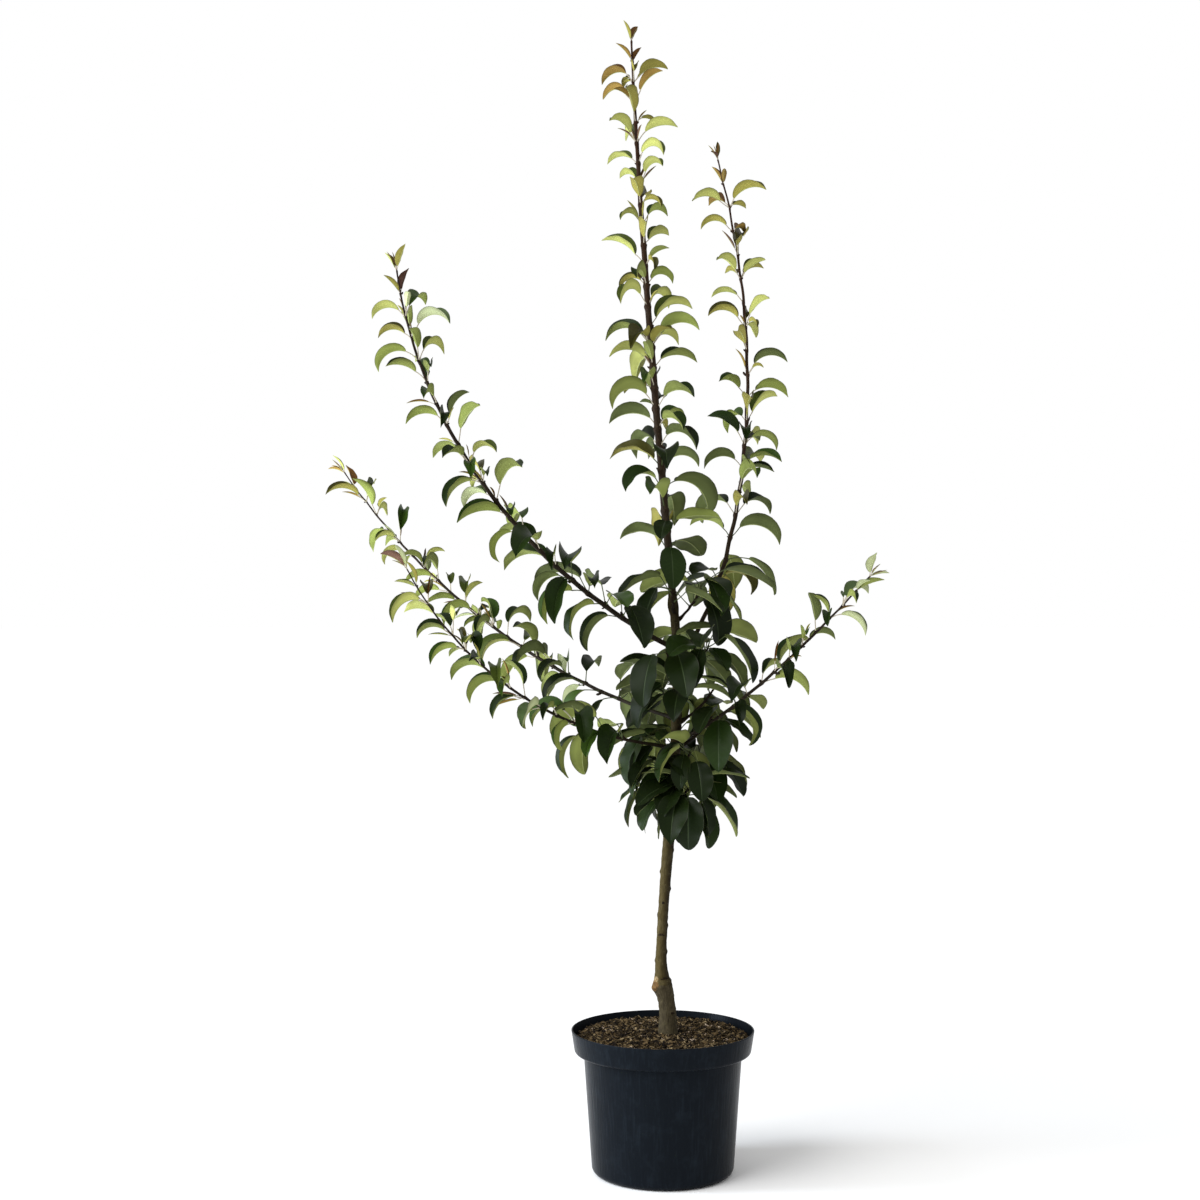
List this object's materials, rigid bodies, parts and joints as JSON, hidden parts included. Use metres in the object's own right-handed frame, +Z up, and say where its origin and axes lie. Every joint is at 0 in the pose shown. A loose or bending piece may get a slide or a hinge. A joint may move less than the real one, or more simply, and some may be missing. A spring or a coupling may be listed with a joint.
{
  "type": "potted pear tree",
  "caption": "Young grafted pear tree in a round black plastic nursery pot: a short bare trunk, an open crown of upright leafy limbs, and a dense cluster of leafy spurs at their foot.",
  "frame": {"origin": "middle of the pot's flat underside", "axes": "+Z up, along the tree's height. The picture looks along +Y, with +X to its right."},
  "size_m": [0.8787, 0.5795, 1.7606],
  "materials": {
    "pot": "moulded black plastic with a slight sheen",
    "soil": "loose peat and bark compost",
    "bark": "smooth young bark with buds and scars",
    "leaf": "smooth leaves, glossy above and paler below"
  },
  "bodies": {
    "root": {"pot": "pot", "soil": "soil", "trunk": "bark", "bough_leader": "bark", "bough_right_leader": "bark", "bough_left_upper": "bark", "bough_left_mid": "bark", "bough_left_lower": "bark", "bough_right_lower": "bark", "foliage_leader": "leaf", "foliage_right_leader": "leaf", "foliage_left_upper": "leaf", "foliage_left_mid": "leaf", "foliage_left_lower": "leaf", "foliage_right_lower": "leaf", "foliage_spur_01": "leaf", "foliage_spur_02": "leaf", "foliage_spur_03": "leaf", "foliage_spur_05": "leaf", "foliage_spur_06": "leaf", "foliage_spur_07": "leaf", "foliage_spur_08": "leaf", "foliage_spur_10": "leaf", "foliage_spur_11": "leaf", "foliage_spur_12": "leaf", "foliage_spur_14": "leaf", "foliage_spur_15": "leaf", "foliage_spur_16": "leaf", "foliage_spur_18": "leaf", "foliage_spur_19": "leaf", "foliage_spur_21": "leaf"}
  },
  "joints": []
}
